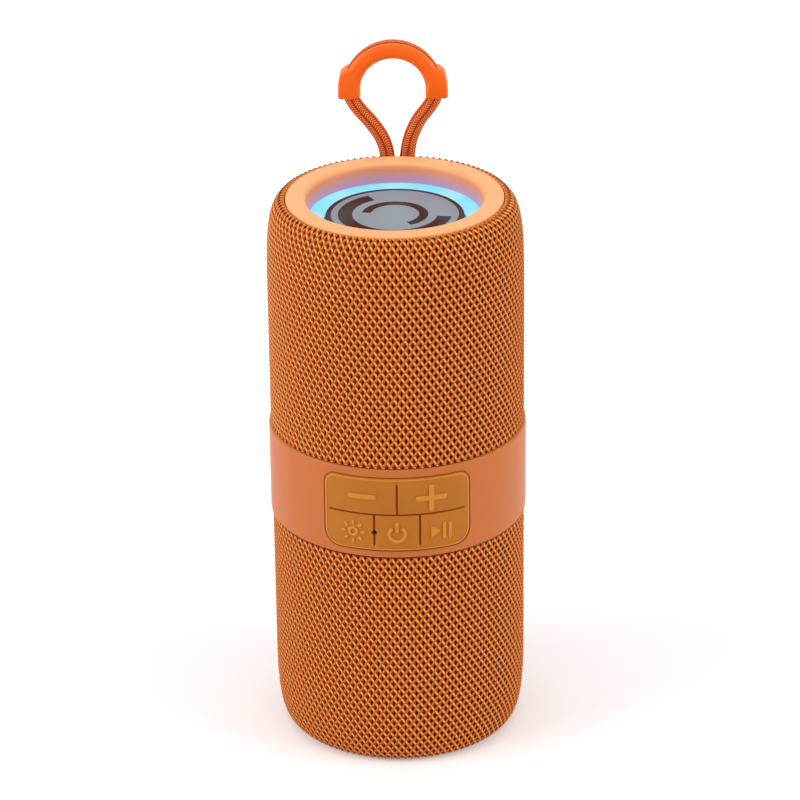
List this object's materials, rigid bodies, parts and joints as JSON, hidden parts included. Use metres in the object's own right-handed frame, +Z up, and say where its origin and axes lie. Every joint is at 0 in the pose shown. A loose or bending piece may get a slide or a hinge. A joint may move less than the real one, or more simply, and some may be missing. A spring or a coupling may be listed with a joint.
{
  "type": "portable bluetooth speaker",
  "caption": "Upright cylindrical speaker in open orange knit with a plain middle band, front keypad, lit passive radiators at its ends and a swinging braided strap.",
  "frame": {"origin": "centre of the bottom bezel ring, on the plane the speaker stands on", "axes": "+Z up along the cylinder's axis, -Y out of the keypad at the front, +X to the right as seen from the front"},
  "size_m": [0.08, 0.0866, 0.2116],
  "materials": {
    "knit": "coarse open knit of shiny polyester yarn, staggered holes",
    "bezel_tpu": "satin moulded elastomer",
    "band_plastic": "satin moulded plastic with a fine spark texture",
    "key_silicone": "matt silicone with raised symbols",
    "grip_plastic": "satin moulded plastic, vivid orange",
    "cord_braid": "tight braid over a core",
    "black_plastic": "moulded ABS, fine texture",
    "diffuser": "milky light guide, lit cyan",
    "circuit_board": "green solder mask on glass-epoxy",
    "rubber": "moulded butyl rubber, matt",
    "plate_metal": "dark brown anodised, glossy printed face",
    "steel": "zinc-plated, pressed or turned",
    "cone_paper": "coated pressed paper",
    "cell_wrap": "heat-shrunk PVC sleeve"
  },
  "bodies": {
    "speaker_body": {"upper_fabric_sleeve": "knit", "lower_fabric_sleeve": "knit", "upper_grille": "black_plastic", "lower_grille": "black_plastic", "mid_band": "band_plastic", "keypad_mat": "key_silicone", "control_board": "circuit_board", "microphone": "black_plastic", "front_housing": "black_plastic", "rear_housing": "black_plastic", "battery_cell": "cell_wrap", "battery_cradle": "black_plastic", "main_board": "circuit_board", "usb_socket": "steel", "card_socket": "steel", "aux_socket": "black_plastic", "port_plate": "black_plastic", "strap_bracket": "band_plastic", "strap_pin": "steel", "switch_minus": "black_plastic", "switch_plus": "black_plastic", "switch_light": "black_plastic", "switch_power": "black_plastic", "switch_play": "black_plastic", "housing_screw_1": "steel", "housing_screw_2": "steel", "housing_screw_3": "steel", "housing_screw_4": "steel", "top_bezel": "bezel_tpu", "top_light_ring": "diffuser", "top_led_board": "circuit_board", "top_radiator_surround": "rubber", "top_radiator_frame": "black_plastic", "bottom_bezel": "bezel_tpu", "bottom_light_ring": "diffuser", "bottom_led_board": "circuit_board", "bottom_radiator_surround": "rubber", "bottom_radiator_frame": "black_plastic", "upper_driver_basket": "steel", "upper_driver_magnet": "steel", "lower_driver_basket": "steel", "lower_driver_magnet": "steel"},
    "key_minus": {"key_minus": "key_silicone"},
    "key_plus": {"key_plus": "key_silicone"},
    "key_light": {"key_light": "key_silicone"},
    "key_power": {"key_power": "key_silicone"},
    "key_play": {"key_play": "key_silicone"},
    "port_cover": {"port_cover": "band_plastic"},
    "strap": {"strap_cord": "cord_braid", "strap_grip": "grip_plastic", "left_strap_end": "grip_plastic", "right_strap_end": "grip_plastic"},
    "top_radiator": {"top_radiator_plate": "plate_metal"},
    "bottom_radiator": {"bottom_radiator_plate": "plate_metal"},
    "upper_cone": {"upper_driver_cone": "cone_paper", "upper_driver_surround": "rubber"},
    "lower_cone": {"lower_driver_cone": "cone_paper", "lower_driver_surround": "rubber"}
  },
  "joints": [
    {"name": "key_minus_press", "type": "slide", "parent": "speaker_body", "child": "key_minus", "axis": [0, 1, 0], "range_m": [0, 0.0005], "stiffness_N_per_m": 300, "springref_m": -0.002},
    {"name": "key_plus_press", "type": "slide", "parent": "speaker_body", "child": "key_plus", "axis": [0, 1, 0], "range_m": [0, 0.0005], "stiffness_N_per_m": 300, "springref_m": -0.002},
    {"name": "key_light_press", "type": "slide", "parent": "speaker_body", "child": "key_light", "axis": [0, 1, 0], "range_m": [0, 0.0005], "stiffness_N_per_m": 300, "springref_m": -0.002},
    {"name": "key_power_press", "type": "slide", "parent": "speaker_body", "child": "key_power", "axis": [0, 1, 0], "range_m": [0, 0.0005], "stiffness_N_per_m": 300, "springref_m": -0.002},
    {"name": "key_play_press", "type": "slide", "parent": "speaker_body", "child": "key_play", "axis": [0, 1, 0], "range_m": [0, 0.0005], "stiffness_N_per_m": 300, "springref_m": -0.002},
    {"name": "port_cover_hinge", "type": "hinge", "parent": "speaker_body", "child": "port_cover", "pos_m": [0.017, 0.03621, 0.0885], "axis": [0, 0, -1], "range_deg": [0, 120], "stiffness_Nm_per_rad": 0.003, "springref_deg": -5.73},
    {"name": "strap_swing", "type": "hinge", "parent": "speaker_body", "child": "strap", "pos_m": [0, 0.0426, 0.151], "axis": [-1, 0, 0], "range_deg": [0, 172]},
    {"name": "top_radiator_travel", "type": "slide", "parent": "speaker_body", "child": "top_radiator", "axis": [0, 0, 1], "range_m": [-0.002, 0.002], "stiffness_N_per_m": 500, "deforming": ["top_radiator_surround"]},
    {"name": "bottom_radiator_travel", "type": "slide", "parent": "speaker_body", "child": "bottom_radiator", "axis": [0, 0, 1], "range_m": [-0.002, 0.002], "stiffness_N_per_m": 500, "deforming": ["bottom_radiator_surround"]},
    {"name": "upper_cone_travel", "type": "slide", "parent": "speaker_body", "child": "upper_cone", "axis": [0, -1, 0], "range_m": [-0.0015, 0.0015], "stiffness_N_per_m": 800},
    {"name": "lower_cone_travel", "type": "slide", "parent": "speaker_body", "child": "lower_cone", "axis": [0, -1, 0], "range_m": [-0.0015, 0.0015], "stiffness_N_per_m": 800}
  ]
}
